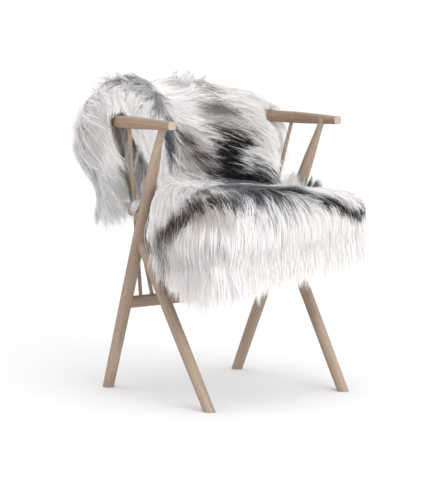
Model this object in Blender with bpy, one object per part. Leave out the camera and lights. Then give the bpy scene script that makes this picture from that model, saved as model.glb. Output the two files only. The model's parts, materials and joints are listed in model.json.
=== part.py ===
"""A long-haired sheepskin draped over the back and seat of a plain wooden chair.

Metres, Z up. The chair faces -Y, and "left" is its -X side. Lengths are in the chair's own
frame, centred between its sides. PLACE moves all of it so that the model's box is centred.
"""

import bmesh
import bpy
import numpy as np

PLACE = np.array([0.0075, -0.0305, 0.0])
GAP = 0.0003

# Legs, on the +X side: each runs straight between two points
REAR_FOOT = np.array([0.212, 0.2105, 0.0])
REAR_TOP = np.array([0.255, -0.081, 0.680])
FRONT_FOOT = np.array([0.215, -0.2105, 0.0])
FRONT_TOP = np.array([0.229, 0.044, 0.393])
LEG_RADIUS = 0.0158
# Share of the leg's length and the radius there
REAR_RADII = (
    (0.00, 0.0140),
    (0.25, 0.0152),
    (0.45, LEG_RADIUS),
    (0.78, LEG_RADIUS),
    (0.86, 0.0135),
    (0.93, 0.0098),
    (0.97, 0.0078),
    (1.00, 0.0078),
)
FRONT_RADII = ((0.0, 0.0135), (0.5, 0.0148), (1.0, 0.0150))

# Crossbar between the rear legs: thickness, height
CROSSBAR_Z = 0.229
CROSSBAR_SIZE = (0.022, 0.029)

# Seat board, with a bearer under each side
SEAT_TOP = 0.476
SEAT_THICK = 0.028
SEAT_FRONT = -0.250
SEAT_SIDE_END = 0.070
SEAT_BACK = 0.224
SEAT_ROUND = 0.012
SEAT_CORNER = 0.020
BEARER_SIZE = (0.022, 0.026)
BEARER_ENDS = (-0.195, 0.062)

# Arm bow: two straight arms and a half-ellipse round the back
BOW_HALF = 0.2635
BOW_DEPTH = 0.212
BOW_BEND = 0.050
BOW_WIDTH = 0.026
BOW_HEIGHT = 0.029
BOW_RISE = 0.0225
ARM_TIP = -0.130
ARM_Z = 0.6785
ARM_TIP_WIDTH = 0.022
ARM_TIP_HEIGHT = 0.019
ARM_METRES_PER_DEGREE = 0.002

# Spindles: the top's angle round the bow in degrees, and the foot's x on the crossbar
SPINDLE_RADIUS = 0.0048
SPINDLES = ((-3.0, 0.179), (21.0, 0.141), (50.5, 0.086), (77.5, 0.030))

# Sheepskin: distance from the wood where it lies and at an edge, bend over an edge, rim's height
SNUG = 0.0005
CLEAR = 0.006
FOLD = 0.020
RIM = 0.011
COLUMNS = 38
# The angles of the bow that it covers, and how far it lies to the left on the seat
SKIN_TURNS = (21.0, 158.0)
SKIN_SHIFT = -0.026

# Drape over the bow from the rear hem: outward from the bow, above its centre, steps to the next row
REAR_ROWS = (
    (0.0300, -0.2400, 9),
    (0.0310, -0.1200, 8),
    (0.0210, -0.0120, 3),
    (0.0145, 0.0165, 2),
    (0.0000, 0.0225, 2),
    (-0.0145, 0.0165, 3),
    (-0.0220, -0.0120, 6),
)
# Front of the back, down to the seat: share of the way to the seat in plan, height, steps
FACE_ROWS = ((0.40, 0.615, 4), (0.74, 0.552, 4), (1.00, 0.510, 6))
FACE_FOOT = (0.196, 0.055, 0.177)
# Seat, as flat cloth with its overhang unrolled: y, half the width, steps
SEAT_ROWS = (
    (0.095, 0.196, 2),
    (0.050, 0.200, 2),
    (0.000, 0.204, 3),
    (-0.032, 0.210, 3),
    (-0.056, 0.258, 3),
    (-0.096, 0.300, 3),
    (-0.170, 0.314, 4),
    (-0.250, 0.312, 3),
    (-0.300, 0.298, 3),
    (-0.350, 0.262, 0),
)
# Pile: share of the skin's length from the rear hem, height along its middle, left and right side
PILE = (
    (0.000, 0.030, 0.022, 0.022),
    (0.060, 0.056, 0.046, 0.038),
    (0.150, 0.074, 0.078, 0.056),
    (0.205, 0.070, 0.082, 0.046),
    (0.245, 0.058, 0.054, 0.026),
    (0.300, 0.044, 0.036, 0.018),
    (0.370, 0.044, 0.038, 0.026),
    (0.460, 0.040, 0.030, 0.028),
    (0.550, 0.038, 0.034, 0.024),
    (0.660, 0.045, 0.050, 0.016),
    (0.800, 0.045, 0.056, 0.018),
    (0.900, 0.044, 0.056, 0.026),
    (1.000, 0.036, 0.040, 0.028),
)
LUMP = 0.17
DOME = 0.085

# Fringes: thickness of the strip at the locks' roots, and pieces of it to a column
STRIP = 0.006
SPLIT = 2
# Name, side of the skin, first and last column, locks' lengths at the two ends, swing outward
HEM_FRINGES = (
    ("front_left", -1, 5, 12, (0.115, 0.095), 0.10),
    ("front_middle", -1, 12, 23, (0.095, 0.085), 0.10),
    ("front_right", -1, 23, 34, (0.085, 0.075), 0.10),
    ("rear_left", 0, 1, 12, (0.055, 0.055), 0.05),
    ("rear_middle", 0, 12, 23, (0.055, 0.055), 0.05),
    ("rear_right", 0, 23, 34, (0.055, 0.055), 0.05),
)


def collection(name, helper=False):
    made = bpy.data.collections.new(name)
    bpy.context.scene.collection.children.link(made)
    made.hide_render = helper
    return made


def material(name, colour, roughness):
    made = bpy.data.materials.new(name)
    made.use_nodes = True
    shader = made.node_tree.nodes["Principled BSDF"]
    shader.inputs["Base Color"].default_value = (*colour, 1.0)
    shader.inputs["Roughness"].default_value = roughness
    made.diffuse_color = (*colour, 1.0)
    return made


def add(name, points, faces, look):
    """An object from points in the chair's frame, facing outward. With no look it is a cutter."""
    mesh = bpy.data.meshes.new(name)
    mesh.from_pydata([tuple(np.asarray(point) + PLACE) for point in points], [], faces)
    turned = bmesh.new()
    turned.from_mesh(mesh)
    bmesh.ops.recalc_face_normals(turned, faces=turned.faces)
    if turned.calc_volume(signed=True) < 0:
        bmesh.ops.reverse_faces(turned, faces=turned.faces)
    turned.to_mesh(mesh)
    turned.free()
    made = bpy.data.objects.new(name, mesh)
    if look is None:
        CUTTERS.objects.link(made)
        made.hide_render = True
        made.display_type = "WIRE"
    else:
        PART.objects.link(made)
        mesh.materials.append(look)
        mesh.shade_smooth()
    return made


def cut(target, cutter):
    tool = target.modifiers.new("cut " + cutter.name, "BOOLEAN")
    tool.operation = "DIFFERENCE"
    tool.solver = "EXACT"
    tool.object = cutter


def loft(rings):
    """Points and faces of the closed body through rings of equally many points."""
    count = len(rings[0])
    points = [point for ring in rings for point in ring]
    faces = [tuple(range(count)), tuple(range(len(points) - count, len(points)))]
    for start in range(0, len(points) - count, count):
        for k in range(count):
            a, b = start + k, start + (k + 1) % count
            faces.append((a, b, b + count, a + count))
    return points, faces


def rod(name, start, end, radii, look, sides=16):
    """A round rod along a straight line. radii holds shares of its length and the radius there."""
    along = (end - start) / np.linalg.norm(end - start)
    across = np.cross(along, (0.0, 1.0, 0.0))
    across /= np.linalg.norm(across)
    other = np.cross(along, across)
    turns = np.linspace(0, 2 * np.pi, sides, endpoint=False)
    circle = [np.cos(a) * across + np.sin(a) * other for a in turns]
    rings = [[start + (end - start) * share + radius * spoke for spoke in circle] for share, radius in radii]
    return add(name, *loft(rings), look)


def rounded_box(width, height, corner):
    """The points of a rectangle with rounded corners, as (across, up) pairs."""
    points = []
    for quarter, (sign_x, sign_y) in enumerate(((1, 1), (-1, 1), (-1, -1), (1, -1))):
        for turn in (0.0, 0.5, 1.0):
            a = (quarter + turn) * np.pi / 2
            x = sign_x * (width / 2 - corner) + corner * np.cos(a)
            points.append((x, sign_y * (height / 2 - corner) + corner * np.sin(a)))
    return points


def ease(value):
    value = np.clip(value, 0.0, 1.0)
    return value * value * (3 - 2 * value)


def leg_at(z):
    """The rear leg's centre at a height, on the +X side."""
    return REAR_FOOT + (REAR_TOP - REAR_FOOT) * z / REAR_TOP[2]


def bow_at(turn):
    """The bow's centre, outward direction, width and height at an angle in degrees.

    It goes round the back from 0 at the left arm to 180 at the right arm. Beyond those
    it runs on along the straight arms.
    """
    side = -1.0 if turn < 90 else 1.0
    turn = min(turn, 180.0 - turn)
    if turn > 0:
        a = np.radians(turn)
        centre = np.array([side * BOW_HALF * np.cos(a), BOW_BEND + BOW_DEPTH * np.sin(a), ARM_Z + 0.003])
        centre[2] += BOW_RISE * np.sin(a) ** 2
        out = np.array([side * BOW_DEPTH * np.cos(a), BOW_HALF * np.sin(a), 0.0])
        return centre, out / np.linalg.norm(out), BOW_WIDTH, BOW_HEIGHT
    forward = -turn * ARM_METRES_PER_DEGREE
    share = forward / (BOW_BEND - ARM_TIP)
    centre = np.array([side * BOW_HALF, BOW_BEND - forward, ARM_Z + 0.003 * (1 - share)])
    width = BOW_WIDTH + (ARM_TIP_WIDTH - BOW_WIDTH) * share
    height = BOW_HEIGHT + (ARM_TIP_HEIGHT - BOW_HEIGHT) * share**1.5
    return centre, np.array([side, 0.0, 0.0]), width, height


def bow(name, grow, look):
    arm = (BOW_BEND - ARM_TIP) / ARM_METRES_PER_DEGREE
    shares = np.array([1.0, 0.6, 0.25])
    turns = np.concatenate([-arm * shares, np.linspace(0, 180, 25), 180 + arm * shares[::-1]])
    rings = []
    for turn in turns:
        centre, out, width, height = bow_at(turn)
        section = rounded_box(width + 2 * grow, height + 2 * grow, 0.0045 + grow)
        rings.append([centre + out * x + (0, 0, y) for x, y in section])
    return add(name, *loft(rings), look)


def crossbar(name, grow, look):
    x, y, _ = leg_at(CROSSBAR_Z)
    section = rounded_box(CROSSBAR_SIZE[0] + 2 * grow, CROSSBAR_SIZE[1] + 2 * grow, 0.005 + grow)
    rings = [[(end, y + a, CROSSBAR_Z + b) for a, b in section] for end in (-x, x)]
    return add(name, *loft(rings), look)


def seat_outline(inset):
    """The seat board's plan: rounded corners at the front and a half-ellipse at the back."""
    half = SEAT_HALF - inset
    corner = SEAT_CORNER - inset
    front = [
        (half - corner + corner * np.cos(a), SEAT_FRONT + SEAT_CORNER + corner * np.sin(a))
        for a in np.linspace(-np.pi / 2, 0, 4)
    ]
    depth = SEAT_BACK - inset - SEAT_SIDE_END
    back = [(half * np.cos(a), SEAT_SIDE_END + depth * np.sin(a)) for a in np.linspace(0, np.pi, 17)]
    return front + back + [(-x, y) for x, y in reversed(front)]


def curve_through(knots, steps):
    """Catmull-Rom points through the knots, with steps[k] pieces between knots k and k + 1."""
    knots = np.asarray(knots, float)
    padded = np.concatenate([[2 * knots[0] - knots[1]], knots, [2 * knots[-1] - knots[-2]]])
    points = []
    for k, count in enumerate(steps):
        a, b, c, d = padded[k : k + 4]
        for t in np.arange(count) / count:
            bend = (2 * a - 5 * b + 4 * c - d) * t**2 + (3 * b - a - 3 * c + d) * t**3
            points.append(0.5 * (2 * b + (c - a) * t + bend))
    return np.array([*points, knots[len(steps)]])


def over_edge(x, y):
    """Where the flat cloth's point (x, y) lies once it has fallen over the seat's side or front."""
    inner_x = SEAT_HALF + CLEAR - FOLD
    inner_y = SEAT_FRONT - CLEAR + FOLD
    snug = ease((inner_x - abs(x)) / 0.06) * ease((y - inner_y) / 0.06) * ease((0.05 - y) / 0.06)
    lift = CLEAR + (SNUG - CLEAR) * snug
    base = np.array([np.sign(x) * min(abs(x), inner_x), max(y, inner_y), SEAT_TOP + lift])
    past = np.array([max(abs(x) - inner_x, 0.0), max(inner_y - y, 0.0)])
    far = np.linalg.norm(past)
    if far < 1e-9:
        return base
    turn = min(far / FOLD, np.pi / 2)
    down = max(far - FOLD * np.pi / 2, 0.0)
    out = FOLD * np.sin(turn) + 0.14 * down
    way = past / far * (np.sign(x), -1.0)
    return base + (way[0] * out, way[1] * out, -FOLD * (1 - np.cos(turn)) - down)


def column(s):
    """The hide's underside from the rear hem to the front hem. s is -1 at its left, 1 at its right."""
    first, last = SKIN_TURNS
    centre, out, _, _ = bow_at((first + last) / 2 + (last - first) / 2 * s)
    hem = 1 - 0.20 * abs(s) ** 3
    knots = [centre + out * o + (0, 0, z * hem if z < -0.1 else z) for o, z, _ in REAR_ROWS]
    half, side_y, deep = FACE_FOOT
    foot = np.array([half * np.sin(s * np.pi / 2), side_y + (deep - side_y) * np.cos(s * np.pi / 2), 0.0])
    top = knots[-1]
    for share, z, _ in FACE_ROWS:
        plan = top + (foot - top) * share
        knots.append(np.array([plan[0], plan[1], z]))
    for y, half, _ in SEAT_ROWS[:2]:
        knots.append(np.array([half * s, y - 0.024 * s * s, SEAT_TOP + CLEAR]))
    back = curve_through(knots, [row[-1] for row in REAR_ROWS + FACE_ROWS])

    seat = []
    for y, half in curve_through([row[:2] for row in SEAT_ROWS], [row[2] for row in SEAT_ROWS[:-1]])[1:]:
        hang = max(SEAT_FRONT - y, 0.0)
        swept = 0.025 * s * s * np.clip((y + 0.05) / 0.145, 0, 1) - hang * (0.22 * s + 0.42 * abs(s) ** 5)
        seat.append(over_edge(half * s + SKIN_SHIFT * ease((0.06 - y) / 0.12), y - swept))
    return np.concatenate([back, seat])


def walked(grid, axis):
    """Length along the grid's lines from their start."""
    run = np.cumsum(np.linalg.norm(np.diff(grid, axis=axis), axis=2), axis=axis)
    return np.concatenate([np.zeros_like(np.take(run, [0], axis)), run], axis)


def softened(field, rounds):
    """A grid of directions, averaged with its neighbours."""
    for _ in range(rounds):
        wide = np.pad(field, ((1, 1), (1, 1), (0, 0)), mode="edge")
        field = (wide[:-2, 1:-1] + wide[2:, 1:-1] + wide[1:-1, :-2] + wide[1:-1, 2:] + 4 * field) / 8
    return field / np.linalg.norm(field, axis=2, keepdims=True)


def pile_over(under, sides):
    """The pile's surface above the hide: full in the middle, rounded down to the rim, and lumpy."""
    facing = softened(np.cross(np.gradient(under, axis=1), np.gradient(under, axis=0)), 3)
    run, reach = walked(under, 1), walked(under, 0)
    stops, middle, left, right = zip(*PILE)
    share = run / run[:, -1:]
    pile = np.interp(share, stops, middle)
    for sign, heights in ((-1, left), (1, right)):
        near = np.clip(sign * sides, 0, 1)[:, None] ** 1.6
        pile += near * (np.interp(share, stops, heights) - pile)
    lumps = 0.42 * np.sin(run * 58 + 2.1 * np.sin(reach * 19)) * np.sin(reach * 47 + 1.3)
    lumps += 0.34 * np.sin(run * 31 - reach * 37 + 0.6) + 0.24 * np.sin(run * 90 + reach * 71)
    edge = np.minimum(np.minimum(run, run[:, -1:] - run), np.minimum(reach, reach[-1:] - reach))
    dome = np.sqrt(1 - (1 - np.clip(edge / DOME, 0, 1)) ** 2)
    return under + facing * np.maximum(RIM, pile * (1 + LUMP * lumps) * dome)[..., None]


def slab(name, bottom, top, look):
    """The closed body between two grids of points."""
    across, along = bottom.shape[:2]
    low, high = np.arange(2 * across * along).reshape(2, across, along).tolist()
    faces = []
    for i in range(across - 1):
        for j in range(along - 1):
            for layer in (low, high):
                faces.append((layer[i][j], layer[i][j + 1], layer[i + 1][j + 1], layer[i + 1][j]))
    rim = [(i, 0) for i in range(across)] + [(across - 1, j) for j in range(1, along)]
    rim += [(i, along - 1) for i in range(across - 2, -1, -1)] + [(0, j) for j in range(along - 2, 0, -1)]
    for (i, j), (k, m) in zip(rim, rim[1:] + rim[:1]):
        faces.append((low[i][j], low[k][m], high[k][m], high[i][j]))
    return add(name, np.concatenate([bottom.reshape(-1, 3), top.reshape(-1, 3)]), faces, look)


def resampled(line, count):
    """The line with count points to each one, counted along its own points."""
    place = np.linspace(0, len(line) - 1, (len(line) - 1) * count + 1)
    return np.stack([np.interp(place, np.arange(len(line)), line[:, k]) for k in range(3)], axis=1)


def fringe(name, low, high, out, lengths, swing, look):
    """A strip along the skin's rim, between the lines low and high, with locks on every other piece."""
    low, high, out = (resampled(line, SPLIT) for line in (low, high, out))
    out /= np.linalg.norm(out, axis=1, keepdims=True)
    near, far = out * 2 * GAP, out * (2 * GAP + STRIP)
    points = [point for ring in zip(low + near, high + near, high + far, low + far) for point in ring]
    faces = [(0, 1, 2, 3), tuple(range(len(points) - 4, len(points)))]
    for k in range(len(low) - 1):
        a, b = 4 * k, 4 * k + 4
        faces += [(a, a + 1, b + 1, b), (a + 1, a + 2, b + 2, b + 1), (a + 3, a, b, b + 3)]
        root = [a + 2, a + 3, b + 3, b + 2]
        if k % 2:
            faces.append(tuple(root))
            continue
        flare = (high[k] - low[k]) / np.linalg.norm(high[k] - low[k])
        length = lengths[0] + (lengths[1] - lengths[0]) * k / len(low)
        length *= 0.86 + 0.14 * np.sin(2.4 * k) + 0.10 * np.sin(0.9 * k + 1.0)
        faces += lock(points, root, out[k], flare, length, swing)
    return add(name, points, faces, look)


def lock(points, root, out, flare, length, swing):
    """Adds a tapering lock's points on the root's four, and returns its faces. It bends downward."""
    centre = np.mean([points[p] for p in root], axis=0)
    offsets = [points[p] - centre for p in root]
    faces = []
    for part, size in ((0.34, 1.12), (0.72, 0.68), (1.0, 0.0)):
        bend = out * 0.55 * (part - 0.5 * part**2) + flare * swing * part - np.array([0, 0, 0.85 * part])
        middle = centre + length * bend
        start = len(points)
        if size == 0.0:
            points.append(middle)
            return faces + [(root[k], root[(k + 1) % 4], start) for k in range(4)]
        points += [middle + offset * size for offset in offsets]
        ring = [start, start + 1, start + 2, start + 3]
        faces += [(root[k], root[(k + 1) % 4], ring[(k + 1) % 4], ring[k]) for k in range(4)]
        root = ring


for old in list(bpy.data.objects):
    bpy.data.objects.remove(old)
PART = collection("draped_sheepskin")
CUTTERS = collection("cutters", helper=True)
WOOD = material("pale_wood", (0.62, 0.50, 0.40), 0.55)
FUR = material("sheepskin_fur", (0.86, 0.85, 0.84), 0.9)
SEAT_HALF = leg_at(SEAT_TOP - SEAT_THICK - BEARER_SIZE[1])[0] - LEG_RADIUS - 2 * GAP
RIGHT, LEFT = np.array([1, 1, 1]), np.array([-1, 1, 1])

# Cutters that leave the joints' gaps, and the floor's plane under the feet
ground = [[(x, y, z) for x, y in ((-1, -1), (1, -1), (1, 1), (-1, 1))] for z in (-0.2, 0.0)]
floor_cutter = add("floor_cutter", *loft(ground), None)
bow_cutter = bow("bow_cutter", GAP, None)
crossbar_cutter = crossbar("crossbar_cutter", GAP, None)

# Chair frame
bow("arm_bow", 0.0, WOOD)
crossbar_piece = crossbar("crossbar", 0.0, WOOD)
for side, word in ((LEFT, "left"), (RIGHT, "right")):
    low = (REAR_FOOT - (REAR_TOP - REAR_FOOT) * 0.05) * side
    rear = rod("rear_leg_" + word, low, REAR_TOP * side, REAR_RADII, WOOD)
    cut(rear, floor_cutter)
    cut(rear, bow_cutter)
    wider = [(share, radius + GAP) for share, radius in REAR_RADII]
    rear_cutter = rod("rear_leg_cutter_" + word, low, REAR_TOP * side, wider, None)
    low = (FRONT_FOOT - (FRONT_TOP - FRONT_FOOT) * 0.08) * side
    front = rod("front_leg_" + word, low, FRONT_TOP * side, FRONT_RADII, WOOD)
    cut(front, floor_cutter)
    cut(front, rear_cutter)
    cut(crossbar_piece, rear_cutter)
    x = side[0] * (SEAT_HALF - BEARER_SIZE[0] / 2)
    z = SEAT_TOP - SEAT_THICK - GAP - BEARER_SIZE[1] / 2
    bearer = [[(x + a, y, z + b) for a, b in rounded_box(*BEARER_SIZE, 0.004)] for y in BEARER_ENDS]
    add("seat_bearer_" + word, *loft(bearer), WOOD)

# Seat board, with a hole for each spindle
edge_rings = (
    (SEAT_TOP, SEAT_ROUND),
    (SEAT_TOP - 0.29 * SEAT_ROUND, 0.29 * SEAT_ROUND),
    (SEAT_TOP - SEAT_ROUND, 0.0),
    (SEAT_TOP - SEAT_THICK, 0.0),
)
seat_board = add("seat_board", *loft([[(x, y, z) for x, y in seat_outline(inset)] for z, inset in edge_rings]), WOOD)
for number, (turn, foot_x) in enumerate(SPINDLES, 1):
    for side, word in ((LEFT, "left"), (RIGHT, "right")):
        name = f"spindle_{word}_{number}"
        foot = np.array([foot_x, leg_at(CROSSBAR_Z)[1], CROSSBAR_Z]) * side
        top = bow_at(turn)[0] * LEFT * side
        spindle = rod(name, foot, top, ((0, SPINDLE_RADIUS), (1, SPINDLE_RADIUS)), WOOD, sides=10)
        cut(spindle, bow_cutter)
        cut(spindle, crossbar_cutter)
        wider = SPINDLE_RADIUS + GAP
        cut(seat_board, rod(name + "_hole", foot, top, ((0, wider), (1, wider)), None, sides=10))

# Sheepskin, one lumpy slab from the hide's underside to the top of the pile
spread = np.linspace(-1, 1, COLUMNS + 1)
spread = 1.3 * spread - 0.3 * spread**3
under = np.array([column(s) for s in spread])
over = pile_over(under, spread)
slab("sheepskin", under, over, FUR)

# Fringes of locks along the hems and the seat's sides
for word, row, first, last, lengths, swing in HEM_FRINGES:
    span = slice(first, last)
    inner = -2 if row else 1
    out = under[span, row] - under[span, inner]
    fringe("fringe_" + word, under[span, row], over[span, row], out, lengths, swing, FUR)
hanging = (under[0, :, 2] < SEAT_TOP - 0.02) & (under[0, :, 1] < -0.05)
start = int(np.argmax(hanging))
for word, line, inner, span, lengths in (
    ("left", 0, 1, slice(start, under.shape[1] - 1), (0.070, 0.110)),
    ("right", -1, -2, slice(start + 2, under.shape[1] - 3), (0.050, 0.070)),
):
    out = under[line, span] - under[inner, span]
    fringe("fringe_side_" + word, under[line, span], over[line, span], out, lengths, 0.10, FUR)
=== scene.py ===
"""A long-haired sheepskin over the back and the seat of a plain wooden chair with arms.

Metres, Z up. The chair faces -Y, and "left" is its -X side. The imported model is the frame:
its wooden nodes stay, and the skin's solids give way to a thin hide and its hair.
"""

import json

import bpy
import numpy as np
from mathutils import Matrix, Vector

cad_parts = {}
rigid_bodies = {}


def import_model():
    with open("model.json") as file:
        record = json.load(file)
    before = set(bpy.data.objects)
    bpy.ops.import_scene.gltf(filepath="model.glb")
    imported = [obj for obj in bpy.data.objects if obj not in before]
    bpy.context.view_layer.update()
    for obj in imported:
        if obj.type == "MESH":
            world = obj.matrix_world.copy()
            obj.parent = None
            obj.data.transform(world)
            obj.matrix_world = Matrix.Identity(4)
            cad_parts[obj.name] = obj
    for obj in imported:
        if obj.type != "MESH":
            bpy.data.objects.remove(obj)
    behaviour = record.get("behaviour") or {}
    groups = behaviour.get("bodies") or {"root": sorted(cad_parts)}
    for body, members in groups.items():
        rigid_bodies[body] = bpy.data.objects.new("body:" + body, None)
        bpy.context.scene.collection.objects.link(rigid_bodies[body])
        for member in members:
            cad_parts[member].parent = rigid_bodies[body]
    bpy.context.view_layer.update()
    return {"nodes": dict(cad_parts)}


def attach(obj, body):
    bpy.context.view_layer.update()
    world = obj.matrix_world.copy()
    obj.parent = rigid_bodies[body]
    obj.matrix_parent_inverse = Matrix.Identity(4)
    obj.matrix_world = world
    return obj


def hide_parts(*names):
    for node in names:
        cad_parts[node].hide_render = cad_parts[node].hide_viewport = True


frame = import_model()
for name in {"Cube", "Light", "Camera"} & set(bpy.data.objects.keys()):
    bpy.data.objects.remove(bpy.data.objects[name])
bpy.ops.object.select_all(action="DESELECT")

# Camera
# It stands in front of the chair and to its left, a little above the arms, and far away,
# so that the lines hardly converge.
CAMERA_PLACE = (-2.9305, -3.6805, 0.878)
CAMERA_TURN = np.radians(38.6)
CAMERA_FALL = np.radians(6.37)
CAMERA_LENS = 134.73
level = np.cos(CAMERA_FALL)
sight = Vector((np.sin(CAMERA_TURN) * level, np.cos(CAMERA_TURN) * level, -np.sin(CAMERA_FALL)))
bpy.ops.object.camera_add(location=CAMERA_PLACE)
camera = bpy.context.object
camera.rotation_euler = sight.to_track_quat("-Z", "Y").to_euler()
camera.data.sensor_width = 36.0
camera.data.lens = CAMERA_LENS
bpy.context.scene.camera = camera

# Chair frame
# Soaped beech: legs and spindles turned round, arms and back one steam-bent bow. The packed
# solids stay, with their triangles joined and their round sides shaded smooth.

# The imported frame's shift, the right legs' centre lines and the bow's sizes, all before that shift
SIZE_SHIFT = np.array([0.0075, -0.0305, 0.0])
REAR_FOOT = np.array([0.212, 0.2105, 0.0])
REAR_TOP = np.array([0.255, -0.081, 0.680])
FRONT_FOOT = np.array([0.215, -0.2105, 0.0])
FRONT_TOP = np.array([0.229, 0.044, 0.393])
BOW_HALF = 0.2635
BOW_DEPTH = 0.212
BOW_BEND = 0.050
BOW_RISE = 0.0225
BOW_ARC = 0.24
BOW_LIFT = 0.003
ARM_LIFT = 0.0015
ARM_Z = 0.6785
ARM_TIP = -0.1785
ARM_METRES_PER_DEGREE = 0.002
MIRROR = np.array([-1.0, 1.0, 1.0])

# Beech colours: growth bands by their noise value, then what darkens them, then the end grain
BANDS = (
    (0.28, (0.255, 0.193, 0.146)),
    (0.50, (0.312, 0.242, 0.186)),
    (0.74, (0.370, 0.297, 0.234)),
)
PORES = ((0.34, (0.80, 0.76, 0.72)), (0.56, (1.0, 1.0, 1.0)))
FLECKS = ((0.31, (0.72, 0.64, 0.57)), (0.38, (1.0, 1.0, 1.0)))
CLOUDS = ((0.30, (0.93, 0.91, 0.90)), (0.70, (1.04, 1.03, 1.02)))
END_GRAIN = (0.36, 0.29, 0.23, 1.0)
UNTINTED = (1.0, 1.0, 1.0, 1.0)
BOW_TINT = (0.86, 0.78, 0.74, 1.0)


def fill(node, *inputs, **values):
    """Give a node its settings and its sockets' values. Inputs go to its sockets in order.

    A value that is another node's socket is linked, and None leaves a socket as it is.
    """
    for key, value in [*values.items(), *enumerate(inputs)]:
        if isinstance(key, int):
            socket = node.inputs[key]
        else:
            socket = node.inputs.get(key.replace("_", " ").title().replace("Ior", "IOR"))
        if socket is None:
            setattr(node, key, value)
        elif isinstance(value, bpy.types.NodeSocket):
            node.id_data.links.new(value, socket)
        elif value is not None:
            socket.default_value = value


def node_in(tree, kind, *inputs, **values):
    """A shader node with its values, put to the right of those before it."""
    made = tree.nodes.new("ShaderNode" + kind)
    made.location = (200 * len(tree.nodes), -400)
    fill(made, *inputs, **values)
    return made


def calculated(tree, operation, *inputs):
    """The value of a Math node."""
    return node_in(tree, "Math", *inputs, operation=operation).outputs["Value"]


def noise(tree, vector, **sizes):
    """The value of a Noise node."""
    return node_in(tree, "TexNoise", vector, **sizes).outputs["Fac"]


def rescaled(tree, value, *ends):
    """A value moved from one range to another and kept inside it, by both ranges' ends."""
    return node_in(tree, "MapRange", value, *ends).outputs["Result"]


def bumped(tree, height, **sizes):
    """The surface's normal, roughened by a height."""
    return node_in(tree, "Bump", height=height, **sizes).outputs["Normal"]


def mixed(tree, amount, first, second, blend="MIX"):
    """Two colours mixed. A Mix node has five inputs for other kinds between its amount and them."""
    inputs = (amount, *[None] * 5, first, second)
    return node_in(tree, "Mix", *inputs, data_type="RGBA", blend_type=blend).outputs[2]


def ramp(tree, value, stops):
    """Colours by a value, from rows of value and colour."""
    made = node_in(tree, "ValToRGB", value)
    made.color_ramp.elements.remove(made.color_ramp.elements[1])
    for k, (position, colour) in enumerate(stops):
        stop = made.color_ramp.elements[0] if k == 0 else made.color_ramp.elements.new(position)
        stop.position = position
        stop.color = (*colour, 1.0)
    return made.outputs["Color"]


def group_of(name, inputs, outputs):
    """A shader node group, what comes in, and the node for what goes out."""
    tree = bpy.data.node_groups.new(name, "ShaderNodeTree")
    for way, sockets in (("INPUT", inputs), ("OUTPUT", outputs)):
        for title, kind in sockets.items():
            tree.interface.new_socket(title, in_out=way, socket_type="NodeSocket" + kind)
    return tree, tree.nodes.new("NodeGroupInput").outputs, tree.nodes.new("NodeGroupOutput")


def surface(name, **finish):
    """A material, its node tree and its shader, whose even values are set on its own sockets."""
    made = bpy.data.materials.new(name)
    made.use_nodes = True
    shader = made.node_tree.nodes["Principled BSDF"]
    fill(shader, **finish)
    return made, made.node_tree, shader


def beech_group():
    """Grain along the vector's Z: growth bands, fine pores and short dark flecks."""
    tree, given, out = group_of(
        "beech_grain",
        {"Vector": "Vector", "End": "Float", "Tint": "Color"},
        {"Color": "Color", "Roughness": "Float", "Normal": "Vector"},
    )

    def grain(stretch, **sizes):
        """Noise that is drawn out along the grain."""
        drawn = node_in(tree, "Mapping", given["Vector"], scale=(1.0, 1.0, stretch))
        return noise(tree, drawn.outputs["Vector"], **sizes)

    pores = grain(0.035, scale=420.0, detail=4.0)
    tone = ramp(tree, grain(0.07, scale=55.0, detail=3.0, distortion=0.6), BANDS)
    pore = ramp(tree, pores, PORES)
    fleck = ramp(tree, grain(0.22, scale=520.0, detail=1.0), FLECKS)
    cloud = ramp(tree, grain(0.5, scale=9.0, detail=2.0), CLOUDS)
    for amount, shade in ((0.75, pore), (0.70, fleck), (1.0, cloud), (1.0, given["Tint"])):
        tone = mixed(tree, amount, tone, shade, "MULTIPLY")
    rough = rescaled(tree, pores, 0.3, 0.7, 0.62, 0.48)
    normal = bumped(tree, pores, strength=0.25, distance=0.0004)
    fill(out, mixed(tree, given["End"], tone, END_GRAIN), rough, normal)
    return tree


BEECH = beech_group()


def end_grain(tree, facing, first, last):
    """Where the surface faces along the grain, from a direction's share of its normal."""
    return rescaled(tree, calculated(tree, "ABSOLUTE", facing), first, last)


def straight_grain(tree, coordinates, along):
    """Grain along a direction: its vector and its end grain."""
    upright = Vector(along).rotation_difference(Vector((0, 0, 1))).to_euler()
    turned = node_in(tree, "Mapping", coordinates["Object"], rotation=upright)
    normal = node_in(tree, "Mapping", coordinates["Normal"], rotation=upright, vector_type="VECTOR")
    facing = node_in(tree, "SeparateXYZ", normal.outputs["Vector"]).outputs["Z"]
    return turned.outputs["Vector"], end_grain(tree, facing, 0.80, 0.95)


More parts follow.
